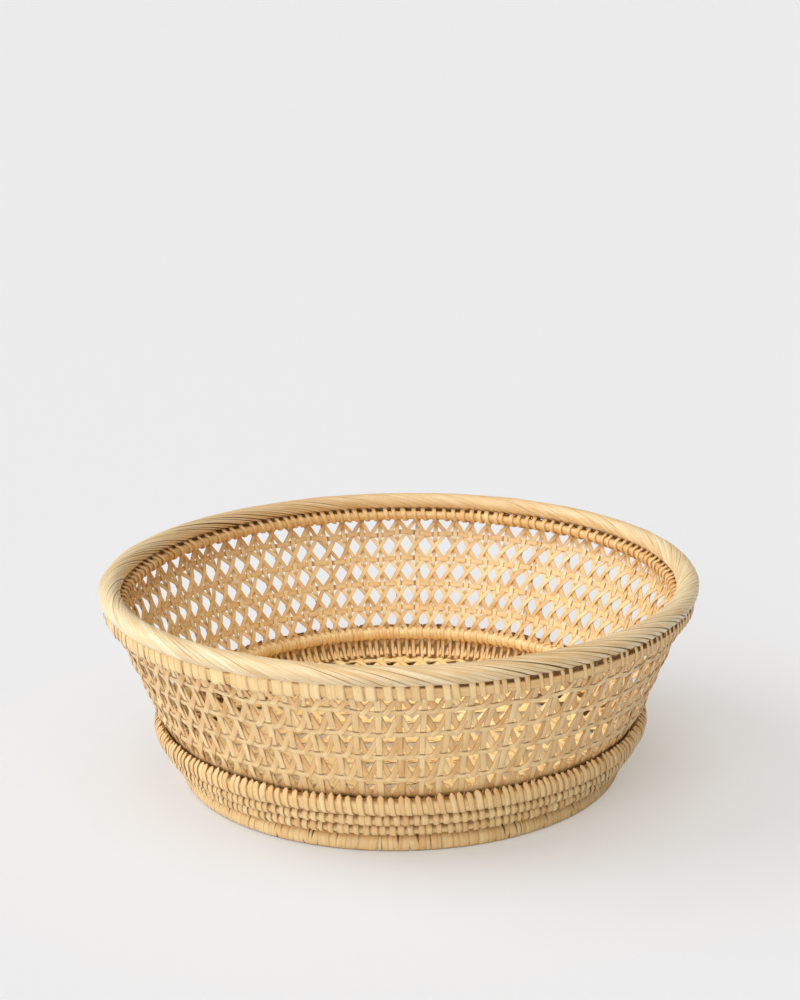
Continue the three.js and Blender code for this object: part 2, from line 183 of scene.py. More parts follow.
def cane_finish(name, pale, deep, painted_shade, fibre, mottle, tint, edge, roughness, waxy):
    """A material of split cane from the shared surface group."""
    material = bpy.data.materials.new(name)
    material.use_nodes = True
    nodes, links = material.node_tree.nodes, material.node_tree.links
    shader = nodes["Principled BSDF"]
    surface = nodes.new("ShaderNodeGroup")
    surface.node_tree = cane_surface
    for label, value in (
        ("Pale", pale),
        ("Deep", deep),
        ("Painted shade and flecks", painted_shade),
        ("Fibre", fibre),
        ("Mottle", mottle),
        ("Tint", tint),
        ("Edge", edge),
        ("Roughness", roughness),
    ):
        surface.inputs[label].default_value = value
    bump = nodes.new("ShaderNodeBump")
    bump.inputs["Strength"].default_value = BUMP_STRENGTH
    bump.inputs["Distance"].default_value = BUMP_DISTANCE
    links.new(surface.outputs["Colour"], shader.inputs["Base Color"])
    links.new(surface.outputs["Roughness"], shader.inputs["Roughness"])
    links.new(surface.outputs["Height"], bump.inputs["Height"])
    links.new(bump.outputs["Normal"], shader.inputs["Normal"])
    shader.inputs["Coat Weight"].default_value = waxy
    shader.inputs["Coat Roughness"].default_value = WAX_ROUGHNESS
    return material


cane_surface = cane_surface_group()
# Each finish: pale and deep colours, the colour of painted shade and flecks, then fibre, mottle, tint,
# edge shade, roughness, wax.
FINISHES = {
    "rim_cane": ((254, 233, 191), (206, 155, 78), (104, 68, 26), 0.8, 0.8, 0.6, 0.12, 0.42, 0.15),
    "wall_cane": ((255, 223, 164), (210, 146, 62), (100, 60, 20), 0.6, 0.7, 0.65, 0.35, 0.46, 0.2),
    "slant_cane": ((254, 218, 158), (204, 140, 60), (100, 60, 20), 0.6, 0.7, 0.65, 0.35, 0.46, 0.2),
    "lashing_cane": ((252, 220, 160), (208, 146, 66), (144, 90, 26), 0.6, 0.6, 0.6, 0.45, 0.44, 0.1),
    "base_cane": ((255, 230, 170), (242, 188, 108), (172, 114, 38), 0.6, 0.6, 0.6, 0.3, 0.48, 0.1),
    # core_rattan is dark partly as the rattan's own colour and partly as painted shade for the deep seams.
    "core_rattan": ((186, 134, 74), (130, 84, 38), (58, 32, 12), 0.7, 0.6, 0.6, 0.3, 0.55, 0.0),
}
finishes = {
    name: cane_finish(name, linear(*pale), linear(*deep), linear(*painted_shade), *numbers)
    for name, (pale, deep, painted_shade, *numbers) in FINISHES.items()
}

# Sections of a strip, anticlockwise from its lower right corner, in half widths and half thicknesses
FLAT_CANE = np.array(
    [(0.97, -1), (1, -0.1), (0.92, 0.6), (0.5, 1), (-0.5, 1), (-0.92, 0.6), (-1, -0.1), (-0.97, -1)]
)
BACK_OF_CANE = (FLAT_CANE[:, 1] < -0.5).astype(float)
BROAD_CANE = np.array([(1, -1), (1, 0.5), (0.9, 1), (-0.9, 1), (-1, 0.5), (-1, -1)])
SPLIT_CANE = np.array([(0.92, -1), (1, 0), (0.55, 1), (-0.55, 1), (-1, 0), (-0.92, -1)])
ROUND_CORNERS = (np.arange(12) - 3) * FULL_TURN / 12
ROUND_CANE = np.stack([np.cos(ROUND_CORNERS), np.sin(ROUND_CORNERS)], 1)


# Making strips

def unit(vectors):
    """Each vector divided by its length."""
    return vectors / np.linalg.norm(vectors, axis=-1, keepdims=True)


def place(turn, radius, height):
    """A point from its turn, its radius and its height: (radius sin turn, -radius cos turn, height)."""
    turn, radius, height = np.broadcast_arrays(turn, radius, height)
    return np.stack([radius * np.sin(turn), -radius * np.cos(turn), height], -1)


def whole_round(stations):
    """Even turns all round the basket, as one strip."""
    return np.linspace(0, FULL_TURN, stations, endpoint=False)[None]


def strip_faces(strips, stations, corners, closed):
    """Four-sided faces of tubes over a grid of strips by stations by corners, with caps on open ends."""
    steps = np.arange(stations if closed else stations - 1)
    here = (np.arange(strips)[:, None] * stations + steps) * corners
    there = (np.arange(strips)[:, None] * stations + (steps + 1) % stations) * corners
    one = np.arange(corners)
    two = (one + 1) % corners
    here, there = here[..., None], there[..., None]
    sides = np.stack([here + one, here + two, there + two, there + one], -1).reshape(-1, 4)
    if closed:
        return sides
    pair = np.arange(corners // 2 - 1)
    cap = np.stack([-pair % corners, pair + 1, pair + 2, (-pair - 1) % corners], -1)
    start = (np.arange(strips) * stations * corners)[:, None, None]
    end = start + (stations - 1) * corners
    return np.concatenate([sides, (start + cap[:, ::-1]).reshape(-1, 4), (end + cap).reshape(-1, 4)])


def lay_cane(name, path, facing, width, thickness, finish, stands_for=(), section=SPLIT_CANE,
             closed=False, roll=0.0, painted_shade=0.0, tint=0.0, variety=0.22):
    """Lays canes along many paths at once, as one piece. path runs over strips, stations and x, y, z.

    A corner is the path's point, plus across times half the width, plus up times half the thickness. There
    across is facing x ahead and up is ahead x across, both turned about the path by roll. The depth of
    painted shade and the tint go into the tone attribute, where each strip's tint differs by chance as
    much as variety says.
    """
    strips, stations = path.shape[:2]
    ahead = np.roll(path, -1, 1) - np.roll(path, 1, 1) if closed else np.gradient(path, axis=1)
    across = unit(np.cross(facing, ahead))
    up = unit(np.cross(ahead, across))
    shape = (strips, stations)
    roll = np.broadcast_to(roll, shape)[..., None]
    across, up = across * np.cos(roll) + up * np.sin(roll), up * np.cos(roll) - across * np.sin(roll)
    half_width = np.broadcast_to(width, shape)[..., None, None] / 2
    half_thickness = np.broadcast_to(thickness, shape)[..., None, None] / 2
    points = (
        path[:, :, None]
        + across[:, :, None] * half_width * section[:, :1]
        + up[:, :, None] * half_thickness * section[:, 1:]
    )
    corners = len(section)
    step = np.linalg.norm(np.diff(path, axis=1), axis=-1)
    along = np.concatenate([np.zeros((strips, 1)), np.cumsum(step, 1)], 1)
    if closed:
        along = np.abs(along - along[:, -1:] / 2)
    grid = shape + (corners,)
    number = chance.random((strips, 1, 1))
    own_tint = np.clip(tint + chance.normal(0.5, variety, (strips, 1, 1)), 0, 1)
    depth = painted_shade if np.ndim(painted_shade) == 3 else np.broadcast_to(painted_shade, shape)[..., None]
    cane = [np.broadcast_to(v, grid) for v in (along[..., None], section[:, 0], number)]
    tone = [np.broadcast_to(v, grid) for v in (own_tint, depth, 0.0)]

    faces = strip_faces(strips, stations, corners, closed)
    mesh = bpy.data.meshes.new(name)
    mesh.vertices.add(points.size // 3)
    mesh.vertices.foreach_set("co", (points * MM).astype(np.float32).ravel())
    mesh.loops.add(faces.size)
    mesh.loops.foreach_set("vertex_index", faces.astype(np.int32).ravel())
    mesh.polygons.add(len(faces))
    mesh.polygons.foreach_set("loop_start", np.arange(0, faces.size, 4, dtype=np.int32))
    mesh.update(calc_edges=True)
    for label, values in (("cane", cane), ("tone", tone)):
        layer = mesh.attributes.new(label, "FLOAT_VECTOR", "POINT")
        layer.data.foreach_set("vector", np.stack(values, -1).astype(np.float32).ravel())
    mesh.shade_smooth()
    mesh.set_sharp_from_angle(angle=CREASE)
    mesh.materials.append(finishes[finish])
    piece = bpy.data.objects.new(name, mesh)
    bpy.context.collection.objects.link(piece)
    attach(piece, BODY)
    if stands_for:
        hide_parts(*stands_for)


def smooth_line(points, stations):
    """A smooth line through a few points, at even steps.

    Between two knots b and c, with a before and d after them and u from 0 to 1, it is half of
    2 b + (c - a) u + (2 a - 5 b + 4 c - d) u squared + (3 b - a - 3 c + d) u cubed.
    """
    knots = np.asarray(points, float)
    padded = np.concatenate([2 * knots[:1] - knots[1:2], knots, 2 * knots[-1:] - knots[-2:-1]])
    at = np.linspace(0, len(knots) - 1, stations)
    k = np.minimum(at.astype(int), len(knots) - 2)
    u = (at - k)[:, None]
    a, b, c, d = padded[k], padded[k + 1], padded[k + 2], padded[k + 3]
    bend = (2 * a - 5 * b + 4 * c - d) * u**2
    twist = (3 * b - a - 3 * c + d) * u**3
    return 0.5 * (2 * b + (c - a) * u + bend + twist)


def wander(turn, swing, waves, seed):
    """A smooth uneven line round the basket: the sum of WAVES waves that close on themselves.

    Each wave is a chance size times the sine of a whole number of turns plus a chance start.
    """
    source = np.random.default_rng(seed)
    total = np.zeros_like(turn, float)
    for wave in source.integers(waves[0], waves[1], WAVES):
        total = total + source.normal(0, 1) * np.sin(wave * turn + source.uniform(0, FULL_TURN))
    return swing * total / math.sqrt(WAVES / 2)


def hoop(name, radius, height, width, thickness, finish, stands_for=(), section=ROUND_CANE, lean=0.0,
         painted_shade=0.0, tint=0.0):
    """A closed ring whose section faces outwards, tipped back by lean. Its radius is a little uneven."""
    turn = whole_round(HOOP_STATIONS)
    path = place(turn, radius + wander(turn, 0.08, (5, 40), round(radius)), height)
    facing = place(turn, math.cos(lean), -math.sin(lean))
    lay_cane(name, path, facing, width, thickness, finish, stands_for, section, True, painted_shade=painted_shade,
             tint=tint)


def crowding(turn, count):
    """Moves turns along the basket by three slow waves and a few small quick ones.

    So some turns lie closer together than others.
    """
    return turn + 0.03 * np.sin(3 * turn) + wander(turn, 0.25 * FULL_TURN / count, (4, 12), count)


def lashing(name, line, count, width, thickness, stands_for=(), slant=0.0, late=1.0, side=1, shift=0.0,
            stations=16, taper=0.0, reach=0.0, drop=0.0, pairing=0.0, painted_shade=((0, 0), (1, 0)),
            edge=0.0, tint=0.0):
    """Turns of a narrow strip over a hoop.

    line is one turn's path as (radius, height). side is 1 where it goes over the outside and -1 over the
    inside. Down the line a turn moves sideways by slant, mostly near its end where late is large. shift
    moves all turns round the basket, in turns. taper narrows a turn's start to a point, which reach lifts
    or lowers by chance and which drop lowers behind. pairing brings every second turn closer to the next.
    The painted shade is given as depths at shares of the line, and edge adds painted shade along the right
    edge.
    """
    section_line = smooth_line(line, stations)
    ahead = np.gradient(section_line, axis=0)
    normal = side * unit(np.stack([-ahead[:, 1], ahead[:, 0]], -1))
    share = np.linspace(0, 1, stations)
    order = np.arange(count)[:, None]
    spacing = FULL_TURN / count
    paired = pairing * np.where(order % 2, 0.5, -0.5) * (0.6 + 0.6 * np.sin(order * spacing * 2 + 1))
    turn = crowding((order + shift + paired + chance.normal(0, 0.1, (count, 1))) * spacing, count)
    radius = section_line[:, 0] + chance.normal(0, 0.05, (count, 1))
    height = section_line[:, 1] + chance.normal(0, 0.1, (count, 1))
    start = chance.normal(0, reach, (count, 1)) - drop * (0.5 - 0.5 * np.cos(order * spacing))
    height = height + start * (1 - share) ** 3
    own_slant = slant * (1 + chance.normal(0, 0.18, (count, 1)))
    turn = turn + own_slant * (share ** (1 + late) - 0.5) / radius
    facing = place(turn, normal[:, 0], normal[:, 1])
    own_width = width * (1 + chance.normal(0, 0.08, (count, 1)))
    if taper:
        own_width = own_width * np.clip(0.3 + share / taper, 0, 1)
    down = np.interp(share, *zip(*painted_shade))
    depth = np.maximum(down[None, :, None], edge * (SPLIT_CANE[:, 0] > 0.9))
    path = place(turn, radius, height)
    roll = chance.normal(0, 0.05, (count, 1))
    lay_cane(name, path, facing, own_width, thickness, "lashing_cane", stands_for, roll=roll,
             painted_shade=depth, tint=tint, variety=0.14)


# Rim: strips laid side by side that climb over it from the inside to the outside

RIM_RADIUS = 168.6
RIM_HEIGHT = 115.35
RIM_HALF_WIDTH = 6.4
RIM_HALF_HEIGHT = 5.35
RIM_STRIPS = 168
RIM_STRIP_THICKNESS = 0.6
RIM_SPAN = math.radians(29)
RIM_FIRST_ANGLE = 262
RIM_WRAPPED = 336
RIM_LOOSEST = math.radians(238)


def rim_strips():
    """Each strip goes round the rim's oval from its inner underside to its outer one, and along the rim.

    On the oval it starts at RIM_FIRST_ANGLE and covers RIM_WRAPPED, in degrees. Along the rim it moves by
    RIM_SPAN, most slowly at its two ends.

    Its width is the space between it and the next strip, and a little more, so that the edges overlap. At
    the back left the strips lie flatter along the rim and looser, with gaps and painted shade between
    them.
    Painted shade lies in the grooves between strips, mostly from the front to the right and from the back
    to the left, and where the strips tuck in on the rim's inner underside. Their tint is painted light and
    shade.
    """
    share = np.linspace(0, 1, 44)[None]
    order = np.arange(RIM_STRIPS)[:, None]
    spacing = FULL_TURN / RIM_STRIPS
    start = order * spacing + chance.normal(0, 0.03 * spacing, order.shape)
    start = start + wander(start, 0.25 * spacing, (3, 16), 3)
    angle = np.radians(RIM_FIRST_ANGLE - RIM_WRAPPED * share) + chance.normal(0, 0.02, order.shape)
    progress = share - 0.5 / FULL_TURN * np.sin(FULL_TURN * share)
    loose = np.clip(2 * np.cos(start - RIM_LOOSEST) - 1, 0, 1)
    turn = start + RIM_SPAN * (progress - 0.5) * (1 + 0.06 * np.sin(3 * start + 1) + 0.45 * loose)
    across = RIM_HALF_WIDTH - RIM_STRIP_THICKNESS / 2
    upright = RIM_HALF_HEIGHT - RIM_STRIP_THICKNESS / 2
    swell = 1 + wander(turn, 0.012, (5, 30), 5) + chance.normal(0, 0.012, order.shape)
    radius = RIM_RADIUS + across * swell * np.cos(angle)
    height = RIM_HEIGHT + upright * swell * np.sin(angle)
    facing = place(turn, upright * np.cos(angle), across * np.sin(angle))
    around = np.hypot(np.gradient(radius, axis=1), np.gradient(height, axis=1))
    forward = radius * np.gradient(turn, axis=1)
    tuck = 1 - (0.32 + 0.16 * np.sin(start)) * np.clip((share - 0.58) / 0.42, 0, 1) ** 1.6
    lap = 1.08 - 0.1 * loose + chance.normal(0, 0.04, order.shape)
    width = lap * tuck * spacing * radius * around / np.hypot(around, forward)
    # Painted shade where the strips tuck in on the rim's inner underside.
    under = np.clip((np.degrees(angle) - 208) / 25, 0, 0.6)
    # Painted shade in the grooves on the strips' edges, mostly front to right and back to left.
    groove_shade = np.clip((0.6 - 0.2 * np.cos(turn)) * np.sin(2 * turn), 0, 0.8)
    groove_shade = groove_shade * (0.6 + 0.4 * np.abs(np.cos(angle)))
    groove_shade = groove_shade * np.clip(chance.normal(0.9, 0.5, order.shape), 0.1, 1.5)
    roll = chance.normal(-0.05, 0.05, order.shape) - 0.09 * np.clip(np.sin(2 * turn), 0, 1)
    edges = np.clip((np.abs(FLAT_CANE[:, 0]) - 0.5) / 0.4, 0, 1)
    edges = edges * np.where(FLAT_CANE[:, 0] > 0, 1, loose[..., None])
    depth = np.clip(under[..., None] + groove_shade[..., None] * edges, 0, 0.9)
    # Painted light and shade: the tint is deeper in front, deepest behind and paler at the sides.
    shade = (0.21 + 0.3 * np.cos(2 * start) - 0.22 * np.cos(start))[..., None]
    path = place(turn, radius, height)
    lay_cane("rim_cover_strips", path, facing, width, RIM_STRIP_THICKNESS, "rim_cane", ["rim_cover"],
             FLAT_CANE, roll=roll, painted_shade=depth, tint=shade, variety=0.15)


# Wall: uprights, two slanting sets and four hoops, each over and under the others

STAKES = 84
ROW = 15.25
TOP_HOOP = 94.2
STRIP = 0.6
WALL_BOTTOM = 26
WALL_TOP = 111.5
SHOULDER_TOP = 33
UNDER_RIM = 104
BELLY = 2.0
WALL_KNOTS = ((105, 168.9), (70, 152.1), (34, 138.4))
UPRIGHT_WIDTH = 3.35
SLANT_WIDTH = 3.0
HOOP_WIDTH = 3.3
PUSHED_FROM = -62
PUSHED_TO = 66


def wall_radius(height):
    """Radius of the wall's middle at a height: a parabola through three knots, steeper under the rim."""
    height = np.where(height > UNDER_RIM, UNDER_RIM + 0.3 * (height - UNDER_RIM), height)
    (a, ra), (b, rb), (c, rc) = WALL_KNOTS
    return (
        ra * (height - b) * (height - c) / ((a - b) * (a - c))
        + rb * (height - a) * (height - c) / ((b - a) * (b - c))
        + rc * (height - a) * (height - b) / ((c - a) * (c - b))
    )


def wall_point(turn, height, lift):
    """A point on the wall, moved out along the wall's normal by lift, and the normal there.

    The whole weave is a little uneven: its turn and its height wander by small waves, and it bellies out
    to the left and the right by BELLY times the squared sine of the turn.
    """
    turn, height, lift = np.broadcast_arrays(turn, height, lift)
    free = np.clip((height - 32) / 8, 0, 1) * np.clip((106 - height) / 8, 0, 1)
    uneven_turn = turn + free * wander(turn, 0.004, (8, 30), 21) * np.sin(height / 11 + 3 * turn)
    uneven_height = height + free * wander(turn, 0.4, (5, 34), 22) * (0.8 + 0.5 * np.sin(height / 13))
    slope = (wall_radius(uneven_height + 1) - wall_radius(uneven_height - 1)) / 2
    steep = np.hypot(1, slope)
    sides = BELLY * np.sin(turn) ** 2
    belly = sides * np.clip((height - SHOULDER_TOP) / 12, 0, 1) * np.clip((UNDER_RIM - height) / 30, 0, 1)
    radius = wall_radius(uneven_height) + belly + lift / steep
    point = place(uneven_turn, radius, uneven_height - lift * slope / steep)
    return point, place(uneven_turn, 1 / steep, -slope / steep)


def wall_painted_shade(height):
    """Painted shade where the wall runs up into the rim and, on its outer face, down behind the shoulder.
    """
    shade_under_rim = np.clip((height - UNDER_RIM) / 5, 0, 0.5)[..., None]
    behind_shoulder = np.clip((38.5 - height) / 2.5, 0, 0.7)[..., None]
    return shade_under_rim + behind_shoulder * (1 - BACK_OF_CANE)


def pushed(turn):
    """1 in front, where the slanting strips' crossings are pushed up, and 0 at the sides and behind."""
    degrees = (np.degrees(turn) + 180) % 360 - 180
    return np.clip((degrees - PUSHED_FROM) / 25, 0, 1) * np.clip((PUSHED_TO - degrees) / 22, 0, 1)


def painted_light_behind(turn):
    """Painted light: a paler tint towards the back of the wall, which is seen from inside."""
    return -0.25 * np.clip(0.4 - np.cos(turn), 0, 1)


def wall_weave():
    """Lifts come from the row, which is 0 at the highest hoop and 1 at the next.

    Uprights and hoops are stiff, with the hoops outside the uprights. The slanting strips bend: they
    cross inside an upright halfway between hoops, and outside a hoop midway between uprights, with a lift
    of inmost + 1 + the cosine of the row in whole turns. In front these crossings lie higher, so that the
    gaps between the strips point down. Near the rim and the shoulder all lie flatter. Canes are a little
    wider in front than behind.
    """
    height = np.linspace(WALL_BOTTOM, WALL_TOP, 62)[None]
    row = (TOP_HOOP - height) / ROW
    beat = np.cos(FULL_TURN * row)
    flatten = np.clip((UNDER_RIM - height) / 6, 0.05, 1) * np.clip((height - SHOULDER_TOP) / 7, 0.1, 1)
    stake = np.arange(STAKES)[:, None]

    sway = chance.normal(0, 0.03, stake.shape) + 0.02 * np.sin(row * 2.3 + stake * 1.7)
    turn = (stake + sway) * FULL_TURN / STAKES
    point, facing = wall_point(turn, height, 0.1 * flatten)
    broad = 1 + 0.13 * np.cos(stake * FULL_TURN / STAKES)
    width = UPRIGHT_WIDTH * broad * (1 + chance.normal(0, 0.06, stake.shape))
    width = width * (1 + 0.03 * np.sin(row * 4 + stake))
    roll = chance.normal(0, 0.07, stake.shape)
    stakes = ["wall_stake_%02d" % n for n in range(1, 15)]
    # Painted shade on the uprights' inner face halfway between hoops, where the slants cross them.
    crossing_shade = 0.35 * np.clip(0.9 - 1.6 * beat, 0, 1) * flatten
    painted_shade = wall_painted_shade(height) + crossing_shade[..., None] * BACK_OF_CANE
    lay_cane("wall_uprights", point, facing, width, STRIP, "wall_cane", stakes, FLAT_CANE, roll=roll,
             painted_shade=painted_shade, tint=painted_light_behind(turn)[..., None])

    for side, lean, inmost in (("left", 1, -1.3), ("right", -1, -0.7)):
        turn = (stake + 0.5 + lean * row + chance.normal(0, 0.035, stake.shape)) * FULL_TURN / STAKES
        raised = pushed(turn)
        lift = inmost + (1 - 0.1 * raised) * (1 + beat)
        own_height = height + raised * (3.0 - 1.4 * beat) * np.clip((103 - height) / 8, 0, 1)
        point, facing = wall_point(turn, own_height, flatten * lift)
        broad = 1 + 0.12 * np.cos(turn) + 0.1 * np.sin(turn) ** 2
        width = SLANT_WIDTH * broad * (1 + chance.normal(0, 0.06, stake.shape))
        roll = chance.normal(0, 0.06, stake.shape)
        canes = ["slant_%s_%02d" % (side, n) for n in range(1, 7)]
        # Painted light and shade: in front the slants are paler just below a hoop and deeper above the
        # next; paler behind.
        shade = painted_light_behind(turn) - 0.35 * raised * np.sin(FULL_TURN * row)
        lay_cane("wall_slants_" + side, point, facing, width, STRIP, "slant_cane", canes, FLAT_CANE,
                 roll=roll, painted_shade=wall_painted_shade(own_height), tint=shade[..., None])

    turn = whole_round(STAKES * 10)
    level = TOP_HOOP - ROW * np.arange(4)[:, None]
    hoops = ["weaver_hoop_%d" % n for n in range(1, 5)]
    point, facing = wall_point(turn, level + 0 * turn, 0.45 + 0.2 * np.cos(STAKES * turn))
    width = HOOP_WIDTH + 0.15 * np.cos(turn) + wander(turn, 0.15, (10, 90), 31)
    # Painted light and shade: the hoops are paler where they ride over uprights, deeper midway, paler
    # behind.
    shade = 0.1 - 0.15 * np.cos(STAKES * turn) + painted_light_behind(turn)
    # Painted shade on the inner face and the upper edge beside each upright.
    crossing_shade = 0.5 * np.clip(1.8 * np.cos(STAKES * turn) - 0.35, 0, 1)[..., None]
    upper_edge = np.clip((FLAT_CANE[:, 0] - 0.6) / 0.35, 0, 1)
    lay_cane("weaver_hoops", point, facing, width, STRIP, "wall_cane", hoops, FLAT_CANE, True,
             painted_shade=crossing_shade * np.maximum(BACK_OF_CANE, 1.2 * upper_edge), tint=shade[..., None])


# Bindings under the rim

RIM_TURNS_OUTSIDE = 168
RIM_TURNS_INSIDE = 160


def rim_bindings():
    """A round hoop inside the wall and a flat one outside it, each under turns of a narrow strip."""
    # Painted shade on top of the inner pole, under the rim.
    shade_under_rim = np.clip(1.7 * ROUND_CANE[:, 0] + ROUND_CANE[:, 1] - 0.8, 0, 0.45)[None, None]
    hoop("rim_inner_pole", 162.3, 107.4, 5.7, 5.7, "lashing_cane", ["rim_inner_hoop"], painted_shade=shade_under_rim,
         tint=0.4)
    inside = [(166.6, 113.4), (164.6, 112.6), (162.3, 110.9), (160.4, 110.2), (159.1, 108.7),
              (158.9, 106.8), (159.7, 105.1), (161.3, 104.1), (163.4, 104.0), (166.0, 104.8)]
    # Painted shade where the inner turns come out from under the rim.
    lashing("rim_inner_turns", inside, RIM_TURNS_INSIDE, 2.9, 0.8, ["rim_inner_lashing"], slant=-3.2,
            late=0.3, side=-1, stations=24, painted_shade=((0, 0.7), (0.15, 0.4), (0.25, 0), (1, 0)), tint=0.35)
    turn = whole_round(HOOP_STATIONS)
    low = np.clip(0.2 + 1.6 * np.sin(turn), 0, 1)
    path = place(turn, 171.5, 107.2 - 1.5 * low)
    lay_cane("rim_outer_strip", path, place(turn, 1, -0.08), 6.6 - 2.1 * low, 1.2, "lashing_cane",
             ["rim_outer_hoop"], BROAD_CANE, True, tint=0.3)
    outside = [(170.0, 112.2), (171.6, 111.4), (172.35, 109.6), (172.4, 106.8), (172.2, 104.2),
               (171.4, 102.9), (169.6, 102.7)]
    around = np.arange(RIM_TURNS_OUTSIDE)[:, None] * FULL_TURN / RIM_TURNS_OUTSIDE
    left_side = np.clip(0.7 - 1.6 * np.sin(around), 0, 1)
    broad = 2.4 + 3.6 * left_side
    # Painted shade where the outer turns come out from under the rim and along each turn's right edge; the
    # tint is painted light, paler at the left.
    lashing("rim_outer_turns", outside, RIM_TURNS_OUTSIDE, broad, 0.55, ["rim_outer_lashing"],
            slant=2.0, late=0.3, pairing=0.2, painted_shade=((0, 0.5), (0.12, 0.2), (0.25, 0), (1, 0)),
            edge=0.4, tint=0.2 - 0.35 * left_side[..., None])


# Shoulder, band and foot

SHOULDER_TURNS = 192
INNER_TURNS = 168


def shoulder():
    """Two hoops with the wall between them. The turns start as points that reach up into the weave."""
    # Painted shade along the outer bundle's top edge, where the wall goes in behind it.
    top_edge = np.clip(3 * FLAT_CANE[:, 0] - 2.2, 0, 0.6)[None, None]
    hoop("shoulder_outer_bundle", 143.5, 32.2, 8.4, 4.4, "lashing_cane", ["shoulder_outer_hoop"],
         FLAT_CANE, painted_shade=top_edge, tint=0.3)
    outside = [(142.9, 38.3), (143.8, 37.6), (144.9, 36.4), (145.9, 34.8), (146.2, 32.2), (145.8, 29.4),
               (144.5, 28.0), (142.2, 27.3)]
    # Painted shade where each stitch tucks under at its end, and along its right edge.
    lashing("shoulder_outer_stitches", outside, SHOULDER_TURNS, 3.5, 0.5, ["shoulder_outer_lashing"],
            slant=2.8, stations=20, taper=0.28, reach=0.4, drop=1.0, painted_shade=((0, 0), (0.85, 0), (1, 0.6)),
            edge=0.55, tint=0.15)
    hoop("shoulder_inner_bundle", 133.6, 34.0, 7.2, 6.4, "lashing_cane", ["shoulder_inner_hoop"])
    inside = [(136.6, 37.2), (135.0, 37.75), (133.2, 37.75), (131.3, 36.7), (130.25, 34.9),
              (130.25, 32.8), (131.2, 31.1), (133.0, 30.2), (135.2, 29.9)]
    # Painted shade where each inner stitch tucks under at its end.
    lashing("shoulder_inner_stitches", inside, INNER_TURNS, 2.9, 0.5, ["shoulder_inner_lashing"],
            slant=-1.5, side=-1, stations=20, painted_shade=((0, 0), (0.85, 0), (1, 0.5)))


def band():
    """Two coils against a leaning lining, sewn on by two rows of stitches outside and two inside."""
    # Painted shade on the top of each coil, under the row above.
    recess_shade = np.clip(0.1 + 0.9 * ROUND_CANE[:, 0], 0, 0.55)[None, None]
    hoop("band_upper_bundle", 138.7, 23.1, 5.6, 5.3, "lashing_cane", ["band_upper_coil"], painted_shade=recess_shade)
    hoop("band_lower_bundle", 133.2, 15.1, 5.6, 5.3, "lashing_cane", ["band_lower_coil"], painted_shade=recess_shade)
    # Painted shade over the whole lining, deep behind the coils.
    hoop("band_strip_ends", 132.9, 18.65, 20.5, 1.2, "base_cane", ["band_lining"], BROAD_CANE,
         lean=0.602, painted_shade=0.4)
    over_coil = np.array([(1.6, 4.0), (1.2, 3.0), (2.1, 2.35), (2.75, 1.3), (2.9, 0), (2.55, -1.55),
                          (1.6, -2.65), (0.5, -3.2), (-1.8, -3.4)])
    # Painted shade at both ends of each stitch, where it goes in.
    end_shade = ((0, 0.4), (0.12, 0), (0.88, 0), (1, 0.5))
    for row, centre, shift in (("upper", (139.1, 23.3), 0.5), ("lower", (133.6, 15.3), 1)):
        lashing("band_%s_stitches" % row, over_coil + centre, SHOULDER_TURNS, 3.4, 0.6, slant=0.6,
                shift=shift, painted_shade=end_shade, tint=0.05)
    inner = [(133.0, 30.8), (134.0, 28.6), (133.2, 26.6), (131.8, 24.4), (130.2, 22.2), (128.6, 20.8),
             (126.4, 20.4)]
    # Painted shade at the ends of the inner stitches, mostly at their upper start.
    lashing("band_inner_stitches", inner, INNER_TURNS, 2.3, 0.8, slant=-1.0, side=-1, stations=12,
            painted_shade=((0, 0.5), (0.15, 0.15), (0.4, 0), (1, 0.1)), tint=-0.2)
    teeth = [(131.6, 25.2), (130.4, 23.6), (129.0, 22.2), (127.2, 21.8)]
    lashing("base_edge_stitches", teeth, INNER_TURNS, 2.2, 0.8, side=-1, shift=0.5, stations=8,
            taper=0.8)


FOOT_RADIUS = 126.8
FOOT_HALF_WIDTH = 4.5
FOOT_HALF_HEIGHT = 4.96
FOOT_MIDDLE = 4.44
FOOT_LOOPS = 290
FOOT_NARROWEST = math.radians(75)
FOOT_STRIP_THICKNESS = 0.5
FOOT_LAP = 1.12
OVER_FLOOR = 0.08


